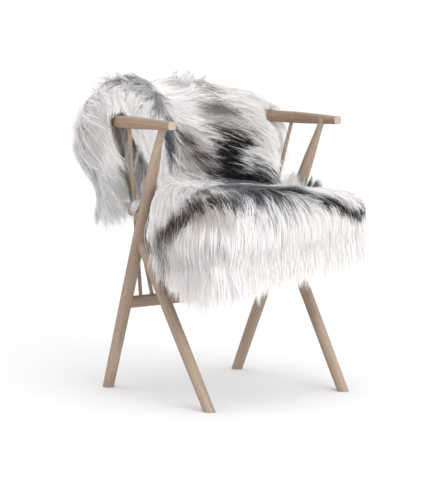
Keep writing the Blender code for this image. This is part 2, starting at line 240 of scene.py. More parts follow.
def bow_grain(tree, coordinates):
    """Grain round the back of the bow and straight along its arms, with end grain at their tips."""
    middle = -Vector(SIZE_SHIFT) - Vector((0, BOW_BEND, 0))
    centred = node_in(tree, "Mapping", coordinates["Object"], location=middle)
    x, y, z = node_in(tree, "SeparateXYZ", centred.outputs["Vector"]).outputs
    behind = calculated(tree, "MAXIMUM", y, 0.0)
    before = calculated(tree, "MINIMUM", y, 0.0)
    angle = calculated(tree, "ARCTAN2", behind, x)
    arc = calculated(tree, "MULTIPLY", angle, BOW_ARC)
    along = calculated(tree, "ADD", arc, before)
    flat = node_in(tree, "CombineXYZ", x, behind).outputs["Vector"]
    out = node_in(tree, "VectorMath", flat, operation="LENGTH").outputs["Value"]
    vector = node_in(tree, "CombineXYZ", out, z, along).outputs["Vector"]
    facing = node_in(tree, "SeparateXYZ", coordinates["Normal"]).outputs["Y"]
    tip = calculated(tree, "LESS_THAN", y, ARM_TIP)
    return vector, calculated(tree, "MULTIPLY", end_grain(tree, facing, 0.97, 0.995), tip)


def beech(name, along=None, tint=UNTINTED):
    """Beech with its grain along a direction, or round the bow where none is given."""
    made, tree, shader = surface(name, specular_ior_level=0.35)
    coordinates = node_in(tree, "TexCoord").outputs
    if along is None:
        vector, end = bow_grain(tree, coordinates)
    else:
        vector, end = straight_grain(tree, coordinates, along)
    colour, rough, normal = node_in(tree, "Group", vector, end, tint, node_tree=BEECH).outputs
    fill(shader, base_color=colour, roughness=rough, normal=normal)
    return made


woods = {
    "arm_bow": beech("beech_bow", tint=BOW_TINT),
    "crossbar": beech("beech_crossbar", (1.0, 0.0, 0.0)),
    "seat_board": beech("beech_seat", (0.0, 1.0, 0.0)),
}
for leg, along in (("rear_leg", REAR_TOP - REAR_FOOT), ("front_leg", FRONT_TOP - FRONT_FOOT)):
    woods[f"{leg}_right"] = beech(f"beech_{leg}_right", along)
    woods[f"{leg}_left"] = beech(f"beech_{leg}_left", along * MIRROR)
woods["seat_bearer_left"] = woods["seat_bearer_right"] = woods["seat_board"]
spindle_wood = beech("beech_spindle", (0.0, 0.3, 0.95))
for name, piece in frame["nodes"].items():
    if name == "sheepskin" or name.startswith("fringe"):
        continue
    piece.data.materials.clear()
    piece.data.materials.append(woods.get(name, spindle_wood))
    piece.data.shade_smooth()
    weld = piece.modifiers.new("weld", "WELD")
    weld.merge_threshold = 0.00002
    edges = piece.modifiers.new("edges", "EDGE_SPLIT")
    edges.split_angle = np.radians(50)

# Hide
# One tanned skin, 2 mm thick, hair side up. It lies over the back of the bow, down its front,
# over the seat and its edges. The tables are those of the solid in the part's source.
HIDE_THICK = 0.002
# The seat board, and the hide's height above its middle and above its edges
SEAT_TOP = 0.476
SEAT_FRONT = -0.250
SEAT_HALF = 0.2253
SNUG = 0.0005
CLEAR = 0.006
# The fold over the board's edge: its radius, and how far the hide leans out below it
FOLD = 0.020
FOLD_LEAN = 0.14
# Pieces across the skin, the bow's angles at its sides, and its shift to the left on the seat
COLUMNS = 38
SKIN_TURNS = (21.0, 158.0)
SKIN_SHIFT = -0.026
# Towards the sides: how much shorter the rear hangs, and how far the rows curve back in the
# crook and on the seat. Then the front hem's slant and how round its corners are.
REAR_SHORTER = 0.20
CROOK_CURVE = 0.024
SEAT_CURVE = 0.025
HEM_SLANT = 0.22
HEM_ROUND = 0.42
# Over the bow: outward from its line, height above it, pieces to the next row
REAR_ROWS = (
    (0.0300, -0.2400, 9),
    (0.0310, -0.1200, 8),
    (0.0210, -0.0120, 3),
    (0.0145, 0.0165, 2),
    (0.0000, 0.0225, 2),
    (-0.0145, 0.0165, 3),
    (-0.0220, -0.0120, 6),
)
# Down the back's front: share of the way to the foot, height, pieces to the next row
FACE_ROWS = ((0.40, 0.615, 4), (0.74, 0.552, 4), (1.00, 0.510, 6))
# The foot's half width, and its depth at the sides and in the middle
FACE_FOOT = (0.196, 0.055, 0.177)
# Over the seat: depth, half the width, pieces to the next row
SEAT_ROWS = (
    (0.095, 0.196, 2),
    (0.050, 0.200, 2),
    (0.000, 0.204, 3),
    (-0.032, 0.210, 3),
    (-0.056, 0.258, 3),
    (-0.096, 0.300, 3),
    (-0.170, 0.314, 4),
    (-0.250, 0.312, 3),
    (-0.300, 0.298, 3),
    (-0.350, 0.262, 0),
)
SUEDE = ((0.3, (0.92, 0.90, 0.87)), (0.7, (0.97, 0.96, 0.945)))


def ease(value):
    """A smooth step from 0 to 1."""
    value = np.clip(value, 0.0, 1.0)
    return value * value * (3 - 2 * value)


def bow_at(turn):
    """The bow's centre and outward direction at an angle, from 0 at the left arm to 180."""
    side = -1.0 if turn < 90 else 1.0
    turn = min(turn, 180.0 - turn)
    if turn > 0:
        a = np.radians(turn)
        deep = BOW_BEND + BOW_DEPTH * np.sin(a)
        centre = np.array([side * BOW_HALF * np.cos(a), deep, ARM_Z + BOW_LIFT])
        centre[2] += BOW_RISE * np.sin(a) ** 2
        out = np.array([side * BOW_DEPTH * np.cos(a), BOW_HALF * np.sin(a), 0.0])
        return centre, out / np.linalg.norm(out)
    forward = -turn * ARM_METRES_PER_DEGREE
    centre = np.array([side * BOW_HALF, BOW_BEND - forward, ARM_Z + ARM_LIFT])
    return centre, np.array([side, 0.0, 0.0])


def curve_through(knots, steps):
    """Catmull-Rom points through the knots, with steps[k] pieces between knots k and k + 1."""
    knots = np.asarray(knots, float)
    padded = np.concatenate([[2 * knots[0] - knots[1]], knots, [2 * knots[-1] - knots[-2]]])
    points = []
    for k, count in enumerate(steps):
        a, b, c, d = padded[k : k + 4]
        for t in np.arange(count) / count:
            bend = (2 * a - 5 * b + 4 * c - d) * t**2 + (3 * b - a - 3 * c + d) * t**3
            points.append(0.5 * (2 * b + (c - a) * t + bend))
    return np.array([*points, knots[len(steps)]])


def over_edge(x, y):
    """Where the flat cloth's point (x, y) lies once it has fallen over the seat's side or front."""
    inner_x = SEAT_HALF + CLEAR - FOLD
    inner_y = SEAT_FRONT - CLEAR + FOLD
    snug = ease((inner_x - abs(x)) / 0.06) * ease((y - inner_y) / 0.06) * ease((0.05 - y) / 0.06)
    lift = CLEAR + (SNUG - CLEAR) * snug
    base = np.array([np.sign(x) * min(abs(x), inner_x), max(y, inner_y), SEAT_TOP + lift])
    past = np.array([max(abs(x) - inner_x, 0.0), max(inner_y - y, 0.0)])
    far = np.linalg.norm(past)
    if far < 1e-9:
        return base
    turn = min(far / FOLD, np.pi / 2)
    down = max(far - FOLD * np.pi / 2, 0.0)
    out = FOLD * np.sin(turn) + FOLD_LEAN * down
    way = past / far * (np.sign(x), -1.0)
    return base + (way[0] * out, way[1] * out, -FOLD * (1 - np.cos(turn)) - down)


def skin_column(s):
    """The hide's underside from the rear hem to the front hem. s is -1 at its left, 1 at its right."""
    first, last = SKIN_TURNS
    centre, out = bow_at((first + last) / 2 + (last - first) / 2 * s)
    hem = 1 - REAR_SHORTER * abs(s) ** 3
    knots = [centre + out * o + (0, 0, z * hem if z < -0.1 else z) for o, z, _ in REAR_ROWS]
    half, side_y, deep = FACE_FOOT
    bend = s * np.pi / 2
    foot = np.array([half * np.sin(bend), side_y + (deep - side_y) * np.cos(bend), 0.0])
    top = knots[-1]
    for share, z, _ in FACE_ROWS:
        plan = top + (foot - top) * share
        knots.append(np.array([plan[0], plan[1], z]))
    for y, half, _ in SEAT_ROWS[:2]:
        knots.append(np.array([half * s, y - CROOK_CURVE * s * s, SEAT_TOP + CLEAR]))
    back = curve_through(knots, [row[-1] for row in REAR_ROWS + FACE_ROWS])

    seat = []
    rows = curve_through([row[:2] for row in SEAT_ROWS], [row[2] for row in SEAT_ROWS[:-1]])
    for y, half in rows[1:]:
        hang = max(SEAT_FRONT - y, 0.0)
        swept = SEAT_CURVE * s * s * np.clip((y + 0.05) / 0.145, 0, 1)
        swept -= hang * (HEM_SLANT * s + HEM_ROUND * abs(s) ** 5)
        seat.append(over_edge(half * s + SKIN_SHIFT * ease((0.06 - y) / 0.12), y - swept))
    return np.concatenate([back, seat])


def mesh_of(name, points, corners, sizes, look, attributes=()):
    """An object from arrays: points, the corners of all faces in a row, and each face's count."""
    mesh = bpy.data.meshes.new(name)
    mesh.vertices.add(len(points))
    mesh.vertices.foreach_set("co", np.asarray(points, np.float32).ravel())
    mesh.loops.add(len(corners))
    mesh.loops.foreach_set("vertex_index", np.asarray(corners, np.int32))
    mesh.polygons.add(len(sizes))
    starts = np.concatenate([[0], np.cumsum(sizes)[:-1]])
    mesh.polygons.foreach_set("loop_start", starts.astype(np.int32))
    mesh.update(calc_edges=True)
    for title, kind, values in attributes:
        layer = mesh.attributes.new(title, kind, "POINT")
        key = {"FLOAT_COLOR": "color", "FLOAT2": "vector"}[kind]
        layer.data.foreach_set(key, np.asarray(values, np.float32).ravel())
    mesh.shade_smooth()
    mesh.materials.append(look)
    made = bpy.data.objects.new(name, mesh)
    bpy.context.scene.collection.objects.link(made)
    return made


def grid_faces(rows, columns):
    """The corners of a grid's quads, facing the side that the hair grows on."""
    number = np.arange(rows * columns).reshape(rows, columns)
    quads = np.stack([number[:-1, :-1], number[:-1, 1:], number[1:, 1:], number[1:, :-1]], -1)
    return quads.reshape(-1), np.full((rows - 1) * (columns - 1), 4)


def suede():
    """The hide's flesh side and cut edge: pale warm suede with a short nap."""
    made, tree, shader = surface("hide_suede", roughness=0.92, specular_ior_level=0.2)
    place = node_in(tree, "TexCoord").outputs["Object"]
    patches = noise(tree, place, scale=14.0, detail=4.0)
    nap = noise(tree, place, scale=900.0, detail=3.0)
    normal = bumped(tree, nap, strength=0.4, distance=0.0005)
    fill(shader, base_color=ramp(tree, patches, SUEDE), normal=normal)
    return made


# The columns stand closer together towards the skin's sides
spread = np.linspace(-1, 1, COLUMNS + 1)
spread = 1.3 * spread - 0.3 * spread**3
under = np.array([skin_column(s) for s in spread]) + SIZE_SHIFT
hide = mesh_of("hide", under.reshape(-1, 3), *grid_faces(*under.shape[:2]), suede())
thick = hide.modifiers.new("thickness", "SOLIDIFY")
thick.thickness = HIDE_THICK
thick.offset = 1.0
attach(hide, "root")
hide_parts("sheepskin")

# Hair
# Long silky hair in locks 8 to 12 cm long, combed down behind the back, across its
# front to the right, and outward over the seat. It is white with slate, brown and black marks.

# The skin's half width and length, which the comb and the marks are measured by
SKIN_HALF = 0.30
SKIN_LENGTH = 1.05
# The pile's height at the rim, the share that its lumps add, and how far in it rounds up
RIM = 0.011
LUMP = 0.10
DOME = 0.085
# Share of the skin's length from the rear hem; the pile's height in the middle, left and right
PILE = (
    (0.000, 0.012, 0.008, 0.012),
    (0.060, 0.024, 0.012, 0.020),
    (0.110, 0.046, 0.036, 0.036),
    (0.150, 0.068, 0.074, 0.052),
    (0.205, 0.070, 0.094, 0.046),
    (0.230, 0.062, 0.080, 0.034),
    (0.245, 0.058, 0.054, 0.026),
    (0.300, 0.044, 0.036, 0.018),
    (0.370, 0.044, 0.038, 0.026),
    (0.460, 0.040, 0.030, 0.028),
    (0.550, 0.038, 0.034, 0.024),
    (0.660, 0.045, 0.050, 0.012),
    (0.800, 0.045, 0.056, 0.008),
    (0.900, 0.044, 0.056, 0.008),
    (1.000, 0.036, 0.040, 0.012),
)
# Hair that stands higher: place across and along, reach across and along, metres
SWELLS = (
    (-0.40, 0.255, 0.17, 0.024, 0.018),
    (0.12, 0.262, 0.22, 0.024, 0.006),
    (-0.62, 0.700, 0.20, 0.080, 0.010),
)
# Lines of the grid past each rim, where the hair hangs free, their distance and the pile there
PAST = 8
PAST_STEP = 0.018
PAST_PILE = 0.016
# What draws the hair past the hems and the right rim, past the left rim of the flap that hangs
# behind the back, and past the rest of the left rim
HEM_PULL = np.array([0.0, 0.0, -0.38])
FLAP_PULL = (0.45, 0.0, -0.10)
LEFT_PULL = (0.0, 0.0, -0.24)
# How far each place of the comb reaches, and its rows: share of the length from the rear hem,
# then places across the skin with degrees from the skin's right towards its front hem
COMB_REACH = 0.045
COMB = (
    (0.00, (-1.0, -120), (-0.6, -92), (0.0, -90), (1.0, -75)),
    (0.10, (-1.0, -135), (-0.85, -100), (-0.6, -92), (0.0, -90), (1.0, -70)),
    (0.18, (-1.0, -140), (-0.85, -105), (-0.6, -98), (0.0, -90), (0.5, -85), (1.0, -60)),
    (0.22, (-1.0, -140), (-0.6, -125), (-0.3, -110), (0.0, -80), (0.5, -60), (1.0, -30)),
    (0.25, (-1.0, 175), (-0.8, -170), (-0.5, -155), (-0.33, -135), (-0.18, -90), (-0.02, -45),
        (0.2, -18), (0.6, 0), (0.9, 10)),
    (0.28, (-1.0, 140), (-0.75, 158), (-0.52, 165), (-0.36, 140)),
    (0.285, (-0.22, 90)),
    (0.28, (-0.05, 35), (0.12, 12), (0.35, 8), (0.6, 12), (0.8, 18), (1.0, 15)),
    (0.33, (-1.0, 150), (-0.7, 125), (-0.4, 120), (-0.2, 80), (0.0, 35), (0.3, 18), (0.6, 18),
        (1.0, 15)),
    (0.40, (-1.0, 150), (-0.6, 110), (-0.3, 100), (0.0, 55), (0.3, 25), (0.6, 22), (1.0, 25)),
    (0.47, (-1.0, 150), (-0.6, 115), (-0.2, 95), (0.2, 45), (0.6, 15), (1.0, 20)),
    (0.54, (-1.0, 160), (-0.5, 150), (0.0, 60), (0.5, 10), (1.0, 5)),
    (0.66, (-1.0, 160)),
    (0.72, (-0.8, 150)),
    (0.65, (-0.5, 150), (0.0, 90), (0.5, 40), (1.0, 15)),
    (0.78, (-1.0, 150), (-0.6, 135)),
    (0.80, (-0.2, 110)),
    (0.82, (0.1, 70)),
    (0.80, (0.4, 30)),
    (0.78, (1.0, 20)),
    (0.86, (-1.0, 130)),
    (0.88, (-0.6, 112), (-0.2, 90)),
    (0.89, (0.1, 18)),
    (0.90, (0.4, 12)),
    (0.92, (0.7, 14)),
    (0.93, (1.0, 20), (-1.0, 100)),
    (0.94, (-0.6, 95)),
    (0.95, (0.0, 82)),
    (0.97, (0.5, 70)),
    (0.98, (1.0, 50)),
    (1.00, (-1.0, 92), (-0.5, 90), (0.5, 88), (1.0, 75)),
)


def walked(grid, axis):
    """Length along the grid's lines from their start."""
    run = np.cumsum(np.linalg.norm(np.diff(grid, axis=axis), axis=2), axis=axis)
    return np.concatenate([np.zeros_like(np.take(run, [0], axis)), run], axis)


def unit(vectors):
    """The same directions, one metre long."""
    return vectors / np.maximum(np.linalg.norm(vectors, axis=-1, keepdims=True), 1e-9)


def softened(field, rounds):
    """A grid of directions, averaged with its neighbours."""
    for _ in range(rounds):
        wide = np.pad(field, ((1, 1), (1, 1), (0, 0)), mode="edge")
        field = (wide[:-2, 1:-1] + wide[2:, 1:-1] + wide[1:-1, :-2] + wide[1:-1, 2:] + 4 * field) / 8
    return unit(field)


def pile_heights(grid, sides):
    """The pile's height above the hide: full in the middle, rounded down to the rim, and lumpy."""
    run, reach = walked(grid, 1), walked(grid, 0)
    stops, middle, left, right = zip(*PILE)
    share = run / run[:, -1:]
    pile = np.interp(share, stops, middle)
    for sign, heights in ((-1, left), (1, right)):
        near = np.clip(sign * sides, 0, 1)[:, None] ** 1.6
        pile += near * (np.interp(share, stops, heights) - pile)
    for s, t, reach_s, reach_t, metres in SWELLS:
        pile += metres * np.exp(-(((sides[:, None] - s) / reach_s) ** 2) - ((share - t) / reach_t) ** 2)
    # Lumps are three waves that cross each other
    lumps = 0.42 * np.sin(run * 58 + 2.1 * np.sin(reach * 19)) * np.sin(reach * 47 + 1.3)
    lumps += 0.34 * np.sin(run * 31 - reach * 37 + 0.6) + 0.24 * np.sin(run * 90 + reach * 71)
    edge = np.minimum(np.minimum(run, run[:, -1:] - run), np.minimum(reach, reach[-1:] - reach))
    dome = np.sqrt(1 - (1 - np.clip(edge / DOME, 0, 1)) ** 2)
    return np.maximum(RIM, pile * (1 + LUMP * lumps) * dome), pile, share


def run_on(grid, axis, pulls):
    """The grid with lines past both its ends, which turn the way that each end's pull draws them."""
    lines = np.moveaxis(grid, axis, 0)
    for (end, inner), pull in zip(((0, 2), (-1, -3)), pulls):
        way = lines[end] - lines[inner]
        new = [lines[end]]
        for _ in range(PAST):
            way = unit(unit(way) + pull)
            new.append(new[-1] + way * PAST_STEP)
        lines = np.concatenate([new[:0:-1], lines]) if end == 0 else np.concatenate([lines, new[1:]])
    return np.moveaxis(lines, 0, axis)


def combed(s, t):
    """The comb's direction at places on the skin, as cosine and sine."""
    places = [(at_s, at_t, degrees) for at_t, *row in COMB for at_s, degrees in row]
    at_s, at_t, degrees = np.array(places).T
    angles = np.radians(degrees)
    across = (s[..., None] - at_s) * SKIN_HALF
    along = (t[..., None] - at_t) * SKIN_LENGTH
    near = np.exp(-(across**2 + along**2) / (2 * COMB_REACH**2)) + 1e-9
    return unit(np.stack([near @ np.cos(angles), near @ np.sin(angles)], -1))


def drawn_down(comb, first, second, facing, amount):
    """The comb's direction turned towards straight down, by the amount at each place."""
    pull = facing * facing[..., 2:] - (0.0, 0.0, 1.0)
    lean = np.sum(first * second, -1)
    one, two = np.sum(pull * first, -1), np.sum(pull * second, -1)
    fall = unit(np.stack([one - lean * two, two - lean * one], -1))
    return unit(comb + (fall - comb) * amount[..., None])


class Field:
    """Grids that are read between their points."""

    def __init__(self, **grids):
        self.names = list(grids)
        layers = [np.atleast_3d(grids[name]) for name in self.names]
        self.ends = np.cumsum([layer.shape[2] for layer in layers])[:-1]
        self.data = np.concatenate(layers, axis=2)

    def at(self, i, j):
        """Each grid's values at places between its points."""
        i = np.clip(i, 0, self.data.shape[0] - 1.001)
        j = np.clip(j, 0, self.data.shape[1] - 1.001)
        a, b = i.astype(int), j.astype(int)
        u, v = (i - a)[:, None], (j - b)[:, None]
        low = self.data[a, b] * (1 - u) + self.data[a + 1, b] * u
        high = self.data[a, b + 1] * (1 - u) + self.data[a + 1, b + 1] * u
        return dict(zip(self.names, np.split(low * (1 - v) + high * v, self.ends, axis=1)))


heights, fullness, share = pile_heights(under, spread)
side_share = np.pad(share[0], PAST, mode="edge")[:, None]
curtain = ease((0.25 - side_share) / 0.03)
left_pull = curtain * FLAP_PULL + (1 - curtain) * LEFT_PULL
wide = run_on(run_on(under, 1, (HEM_PULL, HEM_PULL)), 0, (left_pull, HEM_PULL))
facing = softened(np.cross(np.gradient(wide, axis=1), np.gradient(wide, axis=0)), 3)
wide_s = np.pad(np.repeat(spread[:, None], under.shape[1], 1), PAST, mode="edge")
wide_t = np.pad(share, PAST, mode="edge")
on_skin = np.pad(np.ones(heights.shape), PAST)
wide_height = np.where(on_skin > 0, np.pad(heights, PAST, mode="edge"), PAST_PILE)
outer = wide + facing * wide_height[..., None]
first, second = unit(np.gradient(outer, axis=0)), unit(np.gradient(outer, axis=1))
# Below the seat's top, past its edges, hair hangs straight down
hanging = ease((SEAT_TOP - 0.004 - wide[..., 2]) / 0.03) * ease((wide_t - 0.62) / 0.04)
skin = Field(
    place=wide,
    facing=facing,
    place_i=np.gradient(wide, axis=0),
    place_j=np.gradient(wide, axis=1),
    facing_i=np.gradient(facing, axis=0),
    facing_j=np.gradient(facing, axis=1),
    height=wide_height,
    hanging=hanging,
    full=np.pad(fullness, PAST, mode="edge"),
    s=wide_s,
    t=wide_t,
    comb=drawn_down(combed(wide_s, wide_t), first, second, facing, hanging * 0.9),
)

# Lock roots
# Locks grow out of the whole hide, more where the pile stands wide apart above it. Others stand
# along the rims, and in tufts where the coat is thick or tousled.

# Locks over the whole skin, and steps that spread their roots evenly in the grid's squares
LOCKS = 3650
EVEN_I, EVEN_J = 0.7548777, 0.5698403
# A rim's own locks grow within this many lines of the grid
RIM_LINES = 1.3
# Locks along the rims: the grid's line and axis, span along it, how many, lengths at its ends
RIMS = (
    (-1, 1, (0.01, 0.20), 90, (0.132, 0.122)),
    (-1, 1, (0.20, 0.55), 120, (0.112, 0.100)),
    (-1, 1, (0.55, 0.98), 110, (0.104, 0.114)),
    (0, 1, (0.02, 0.98), 90, (0.060, 0.060)),
    (0, 0, (0.02, 0.25), 170, (0.110, 0.120)),
    (0, 0, (0.27, 0.56), 150, (0.078, 0.070)),
    (0, 0, (0.58, 0.84), 60, (0.050, 0.060)),
    (0, 0, (0.82, 0.99), 90, (0.085, 0.150)),
    (-1, 0, (0.58, 0.97), 80, (0.068, 0.062)),
)
# Tufts: grid lines across and along, spread, how many, length, and which way they stand out
TUFTS = (
    (15.2, 25.0, 1.0, 3.6, 190, 0.058, None),
    (12.5, 22.5, 1.5, 1.2, 26, 0.058, (-0.70, 0.10, 0.40)),
    (22.5, 22.5, 1.2, 1.2, 18, 0.045, (0.45, 0.0, 0.60)),
    (34.0, 23.0, 0.8, 1.2, 10, 0.050, (0.85, 0.0, 0.10)),
    (19.0, 27.0, 2.5, 2.0, 60, 0.075, None),
    (37.0, 54.0, 0.7, 1.8, 50, 0.062, (0.55, 0.10, 0.75)),
    (37.5, 57.5, 0.4, 1.0, 24, 0.052, (0.60, 0.00, 0.75)),
    (0.8, 29.0, 0.7, 2.0, 60, 0.095, (-0.35, -0.15, -0.90)),
    (0.8, 34.0, 0.7, 3.0, 60, 0.085, (-0.35, -0.15, -0.90)),
)
rng = np.random.default_rng(5)
top = under + facing[PAST:-PAST, PAST:-PAST] * heights[..., None]
weight = 0.0
for layer in (under, top):
    corner = np.cross(np.diff(layer, axis=0)[:, :-1], np.diff(layer, axis=1)[:-1])
    weight = weight + np.linalg.norm(corner, axis=2).ravel()
number = np.arange(LOCKS)
square = np.searchsorted(np.cumsum(weight) / weight.sum(), (number + rng.random(LOCKS)) / LOCKS)
squares_along = under.shape[1] - 1
root_i = square // squares_along + (number * EVEN_I) % 1 + PAST
root_j = square % squares_along + (number * EVEN_J) % 1 + PAST
rim_i, rim_j, rim_length = [], [], []
for line, axis, span, many, lengths in RIMS:
    edge_line = top[:, line] if axis else top[line]
    run = np.concatenate([[0], np.cumsum(np.linalg.norm(np.diff(edge_line, axis=0), axis=1))])
    spot = span[0] + (span[1] - span[0]) * (np.arange(many) + rng.random(many)) / many
    place = np.interp(spot * run[-1], run, np.arange(len(run))) + PAST
    inner = rng.random(many) * RIM_LINES
    other = inner + PAST if line == 0 else under.shape[axis] - 1 - inner + PAST
    rim_i.append(place if axis else other)
    rim_j.append(other if axis else place)
    rim_length.append(np.interp(spot, span, lengths))
root_i, root_j = np.concatenate([root_i, *rim_i]), np.concatenate([root_j, *rim_j])
lengths = np.concatenate(rim_length)
stands = np.zeros((len(root_i), 3))
for line_i, line_j, spread_i, spread_j, many, long, way in TUFTS:
    root_i = np.append(root_i, line_i + PAST + rng.normal(0, spread_i, many))
    root_j = np.append(root_j, line_j + PAST + rng.normal(0, spread_j, many))
    lengths = np.append(lengths, np.full(many, long))
    stands = np.concatenate([stands, np.tile(way or (0.0, 0.0, 0.0), (many, 1))])

# Locks
# A lock is a pinch of hair that clings together. Its middle line is walked from its root over
# the skin, the way that it is combed, and up to its layer in the pile. Past the seat it falls.

# Straight pieces in a lock
BENDS = 6
# Length by the pile's height, between the shortest and the longest
LOCK_BASE, LOCK_BY_PILE = 0.045, 1.25
SHORTEST, LONGEST = 0.070, 0.125
# Rear hem: where it is, its thin part by place and half width, and the shares of length there
REAR_HEM = 0.08
THIN_PLACE, THIN_HALF = -0.60, 0.32
THIN_SHARE, HEM_SHARE = 0.56, 0.78
# Degrees that locks lie aside and curl, and how high in its layer a lock starts and rises
ASIDE, CURL = 6, 2.5
START, RISE = 0.82, 0.20
# How much hair slants to the right at the right side, and hangs plumb at the front hem
SLANT, PLUMB = 0.16, 0.7


def line_gap(raised, laid):
    """Metres from one grid line to the next in the pile, where a fold can't close it."""
    return np.maximum(np.linalg.norm(raised, axis=1), 0.4 * np.linalg.norm(laid, axis=1))


here = skin.at(root_i, root_j)
length = np.clip(LOCK_BASE + LOCK_BY_PILE * here["full"][:, 0], SHORTEST, LONGEST)
length[LOCKS:] = lengths
locks = len(length)
length *= 0.82 + 0.32 * rng.random(locks)
thin = np.abs(here["s"][:LOCKS, 0] - THIN_PLACE) < THIN_HALF
hem = np.where(thin, THIN_SHARE, HEM_SHARE)
length[:LOCKS] *= np.where(here["t"][:LOCKS, 0] < REAR_HEM, hem, 1.0)
layer = 0.84 + 0.18 * rng.random(locks)
aside = np.radians(rng.normal(0, ASIDE, locks))
curl = np.radians(rng.normal(0, CURL, locks))
standing = np.any(stands, axis=1)[:, None]
hangs = np.where(standing, 1.0, here["hanging"])
root_facing = here["facing"]
slant = SLANT * ease((here["s"] - 0.35) / 0.6) * (1.0, 0.0, 0.0)
plumb = PLUMB * ease((here["t"] - 0.90) / 0.08) * (0.0, 0.0, -1.0)
fall = root_facing * root_facing[:, 2:] - (0.0, 0.0, 1.0) + slant + plumb
drop = unit(np.where(standing, stands, fall))
fall_way = unit(drop + np.cross(root_facing, drop) * aside[:, None])
i, j, height = root_i.copy(), root_j.copy(), START * layer * here["height"][:, 0]
hung = here["place"] + root_facing * height[:, None]
centres, normals = [hung], [here["facing"]]
seen = [np.concatenate([here["s"], here["t"]], axis=1)]
step = length / BENDS
for bend in range(1, BENDS + 1):
    here = skin.at(i, j)
    share_up = min(1.0, START + RISE * (1 - np.exp(-3.4 * bend / BENDS)))
    up = np.clip(layer * here["height"][:, 0] * share_up - height, -0.45 * step, 0.92 * step)
    level = np.sqrt(step**2 - up**2)
    hung = hung + root_facing * up[:, None] + fall_way * level[:, None]
    way = np.arctan2(here["comb"][:, 1], here["comb"][:, 0]) + aside + curl * bend
    along_i = here["place_i"] + height[:, None] * here["facing_i"]
    along_j = here["place_j"] + height[:, None] * here["facing_j"]
    lean = np.sum(unit(along_i) * unit(along_j), axis=1)
    level /= np.sqrt(np.maximum(1 + np.sin(2 * way) * lean, 0.2))
    i += level * np.cos(way) / line_gap(along_i, here["place_i"])
    j += level * np.sin(way) / line_gap(along_j, here["place_j"])
    height += up
    here = skin.at(i, j)
    laid = here["place"] + here["facing"] * height[:, None]
    centres.append(laid + (hung - laid) * hangs)
    normals.append(unit(here["facing"] + (root_facing - here["facing"]) * hangs))
    seen.append(np.concatenate([here["s"], here["t"]], axis=1))
centres, normals, seen = np.array(centres), np.array(normals), np.array(seen)

# Hairs
# Fine straight hairs, apart at a lock's roots and drawn together towards its tip. One in ten
# has strayed from its lock, stays apart and is a little longer.
HAIRS = 17
STRAYS = 0.10
# How far apart hairs are at a lock's root, in metres, and how far all of them stand up from it
SIDEWAYS, LENGTHWAYS, LIFT = 0.0070, 0.0060, 0.0036
ROOT_LIFT = 0.001
ways = unit(np.gradient(centres, axis=0))
across = unit(np.cross(ways, normals))
over = np.cross(across, ways)
lock = np.repeat(np.arange(locks), HAIRS)
count = locks * HAIRS
part = np.linspace(0, 1, BENDS + 1)[:, None]
stray = rng.random(count) < STRAYS
sideways = rng.normal(0, SIDEWAYS, count)
lengthways = rng.normal(0, LENGTHWAYS, count)
lift = rng.normal(0, LIFT, count)
closing = np.where(stray, 1.2, 1 - part**1.5 * rng.uniform(0.25, 0.75, count))


def hair_points(reach):
    """The hairs' points, each hair ending at its share of its lock's centreline."""
    along = part * reach * BENDS
    low = np.clip(along.astype(int), 0, BENDS - 1)
    mix = (along - low)[..., None]
    points = centres[low, lock] * (1 - mix) + centres[low + 1, lock] * mix
    points = points + across[low, lock] * (sideways * closing)[..., None]
    points += over[low, lock] * (lift * (0.25 + 1.2 * part) * (1 - 0.5 * part))[..., None]
    points += ways[0][lock] * (lengthways * (1 - part))[..., None]
    return points + over[0][lock] * ROOT_LIFT, low


# Hair against the wood
# Soft hair bends round the wood. It is cut short where a post, an arm or a spindle stands free
# in front of it, and elsewhere it is pushed out of the round legs, the spindles and the bow.

# The bow's angle at the head of each spindle on the right, and the places of their feet
SPINDLES = ((-3.0, 0.179), (21.0, 0.141), (50.5, 0.086), (77.5, 0.030))
SPINDLE_FOOT_Y, SPINDLE_FOOT_Z = 0.11233, 0.229
# Radii that hair keeps from the centre lines
REAR_LEG_CLEAR, FRONT_LEG_CLEAR, BOW_CLEAR, SPINDLE_CLEAR = 0.018, 0.017, 0.018, 0.0065
# Angles of the bow between which it is taken as straight
BOW_ANGLES = (-90, 0, 8, 16, 24, 34, 45, 60, 75, 90, 105, 120, 135, 146, 156, 164, 172, 180, 270)
# Spindles that stand free: number, side, from this share of their length up, how many steps
RIGHT = np.ones(3)
FREE_SPINDLES = ((0, MIRROR, 0.80, 1), (1, MIRROR, 0.84, 5), (0, RIGHT, 0.28, 2))
FREE_SPINDLE_CLEAR = 0.012
# Free wood is kept clear in steps of its own radius towards the front left. Hair ends this many
# pieces short of it, and keeps at least this many.
TOWARD = np.array([-0.62, -0.78, 0.0])
SHORT_OF, LEAST_LEFT = 0.7, 0.35
# The box that the hair stays in: axis, side, limit, and how far its tips may pass the limit
HAIR_BOX = (
    (1, -1, 0.338, 0.026),
    (0, -1, 0.305, 0.018),
    (0, 1, 0.305, 0.018),
    (2, 1, 0.795, 0.016),
)


def off_line(points, start, end):
    """Which way and how far points are from the line between two others."""
    line = end - start
    place = np.clip((points - start) @ line / (line @ line), 0, 1)[..., None]
    away = points - start - place * line
    return away, np.linalg.norm(away, axis=2, keepdims=True)


def rear_leg(side, *shares):
    """Points of a rear leg's centre line, at shares of its length from the foot."""
    return [(REAR_FOOT + (REAR_TOP - REAR_FOOT) * share) * side for share in shares]


def spindle(number, side):
    """The foot and the head of a spindle's centre line."""
    turn, foot_x = SPINDLES[number]
    foot = np.array([foot_x, SPINDLE_FOOT_Y, SPINDLE_FOOT_Z])
    return foot * side, bow_at(turn)[0] * MIRROR * side


